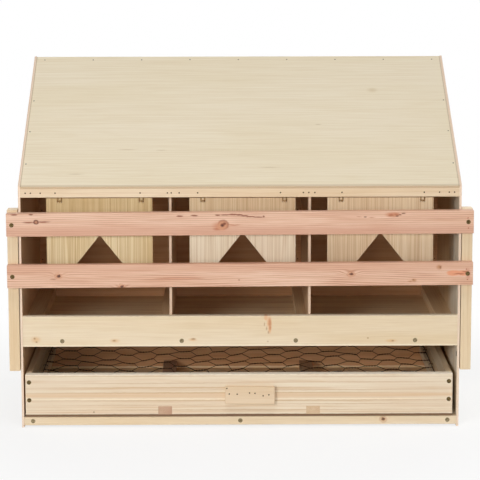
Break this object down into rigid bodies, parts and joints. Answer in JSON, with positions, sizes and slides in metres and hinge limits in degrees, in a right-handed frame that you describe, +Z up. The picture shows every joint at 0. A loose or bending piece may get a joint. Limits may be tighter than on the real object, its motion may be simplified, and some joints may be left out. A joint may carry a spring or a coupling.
{
  "type": "chicken nesting box",
  "caption": "Free-standing plywood and pine laying nest with three compartments, swinging notched flaps, a fold-down perch and a netted egg drawer.",
  "frame": {"origin": "on the floor under the middle of the overall box", "axes": "+X along the front from left to right as seen from the front, +Y from front to back, +Z up"},
  "size_m": [0.9322, 0.4582, 0.718],
  "materials": {
    "plywood": "raw sanded",
    "pine": "raw planed",
    "rail_pine": "raw sawn",
    "steel_wire": "dull galvanised",
    "zinc_plated_steel": "zinc plated"
  },
  "bodies": {
    "carcass": {"left_side_panel": "plywood", "right_side_panel": "plywood", "back_panel": "plywood", "left_divider": "plywood", "right_divider": "plywood", "roof_panel": "plywood", "roof_front_strip": "pine", "roof_back_batten": "pine", "left_roof_batten": "pine", "right_roof_batten": "pine", "nest_floor": "plywood", "floor_bearer_1": "pine", "floor_bearer_2": "pine", "floor_bearer_3": "pine", "floor_bearer_4": "pine", "back_floor_ledger": "pine", "nest_front_board": "pine", "left_floor_cleat": "pine", "right_floor_cleat": "pine", "left_divider_cleat": "pine", "right_divider_cleat": "pine", "bottom_front_rail": "pine", "bottom_back_rail": "pine", "left_runner": "pine", "centre_runner": "pine", "right_runner": "pine", "flap_hangers": "steel_wire", "case_screws": "zinc_plated_steel", "roof_nails": "steel_wire", "pivot_bolts": "zinc_plated_steel", "pivot_washers": "zinc_plated_steel", "bolt_nuts": "zinc_plated_steel", "stop_bolts": "zinc_plated_steel"},
    "perch": {"upper_perch_rail": "rail_pine", "lower_perch_rail": "rail_pine", "left_perch_arm": "pine", "right_perch_arm": "pine", "perch_screws": "zinc_plated_steel"},
    "drawer": {"drawer_front": "pine", "drawer_back": "pine", "left_drawer_side": "pine", "right_drawer_side": "pine", "drawer_floor": "plywood", "left_drawer_batten": "pine", "right_drawer_batten": "pine", "left_net_ledge": "pine", "right_net_ledge": "pine", "front_net_ledge": "pine", "back_net_ledge": "pine", "egg_netting": "steel_wire", "drawer_handle": "pine", "drawer_screws": "zinc_plated_steel", "handle_nails": "steel_wire", "netting_staples": "steel_wire"},
    "left_flap": {"left_flap": "plywood", "left_flap_staples": "steel_wire"},
    "middle_flap": {"middle_flap": "plywood", "middle_flap_staples": "steel_wire"},
    "right_flap": {"right_flap": "plywood", "right_flap_staples": "steel_wire"}
  },
  "joints": [
    {"name": "drawer_slide", "type": "slide", "parent": "carcass", "child": "drawer", "axis": [0, -1, 0], "range_m": [0, 0.3]},
    {"name": "perch_fold", "type": "hinge", "parent": "carcass", "child": "perch", "pos_m": [0, -0.19615, 0.1475], "axis": [1, 0, 0], "range_deg": [0, 80]},
    {"name": "left_flap_swing", "type": "hinge", "parent": "carcass", "child": "left_flap", "pos_m": [-0.2817, -0.20185, 0.4621], "axis": [1, 0, 0], "range_deg": [-3, 80]},
    {"name": "middle_flap_swing", "type": "hinge", "parent": "carcass", "child": "middle_flap", "pos_m": [0.005, -0.20185, 0.4621], "axis": [1, 0, 0], "range_deg": [-3, 80]},
    {"name": "right_flap_swing", "type": "hinge", "parent": "carcass", "child": "right_flap", "pos_m": [0.2817, -0.20185, 0.4621], "axis": [1, 0, 0], "range_deg": [-3, 80]}
  ]
}
